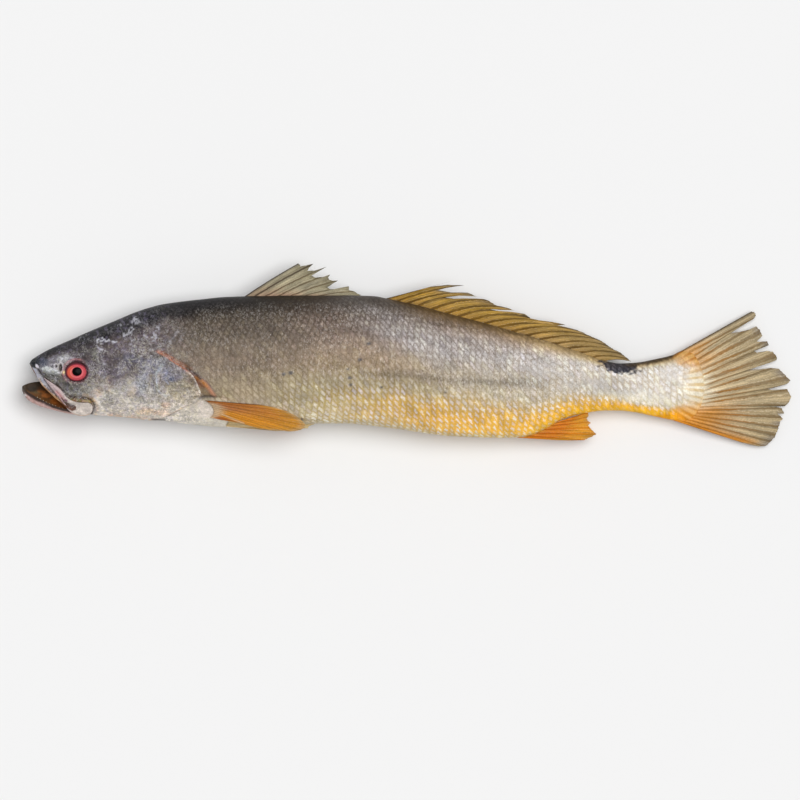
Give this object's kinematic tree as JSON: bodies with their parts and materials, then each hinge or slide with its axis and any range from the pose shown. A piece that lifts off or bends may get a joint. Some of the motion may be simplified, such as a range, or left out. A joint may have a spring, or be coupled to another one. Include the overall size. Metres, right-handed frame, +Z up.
{
  "type": "whole raw fish",
  "caption": "Whole raw weakfish lying on its right flank, with gaping jaw, spiny and soft back fins, laid-back paired fins and a frayed fan tail.",
  "frame": {"origin": "middle of the part's box at its underside, on the surface the fish lies on", "axes": "+X from the snout to the tail, +Y towards the back (dorsal side), +Z up, out of the left flank"},
  "size_m": [0.6008, 0.1412, 0.0589],
  "materials": {
    "body_skin": "wet scaled skin, dark grey-brown back to silver-white belly with yellow between the scales",
    "jaw_skin": "wet skin, pinkish white outside, orange-brown inside",
    "lip_skin": "wet smooth skin, pinkish white",
    "gill_cover_skin": "wet pearly grey skin",
    "eye": "glossy, salmon-red iris and black pupil",
    "first_dorsal_web": "thin beige-grey web with dark spines",
    "second_dorsal_web": "thin ochre web with dark rays",
    "tail_web": "thin golden-brown rays on a pale web",
    "anal_web": "thin orange web",
    "pectoral_web": "thin orange-brown web with rays",
    "pelvic_web": "thin olive-orange web with rays"
  },
  "bodies": {
    "root": {"body": "body_skin", "lower_jaw": "jaw_skin", "left_maxilla": "lip_skin", "right_maxilla": "lip_skin", "left_gill_cover": "gill_cover_skin", "right_gill_cover": "gill_cover_skin", "left_eye": "eye", "right_eye": "eye", "first_dorsal_fin": "first_dorsal_web", "second_dorsal_fin": "second_dorsal_web", "tail_fin": "tail_web", "anal_fin": "anal_web", "left_pectoral_fin": "pectoral_web", "right_pectoral_fin": "pectoral_web", "left_pelvic_fin": "pelvic_web", "right_pelvic_fin": "pelvic_web"}
  },
  "joints": []
}
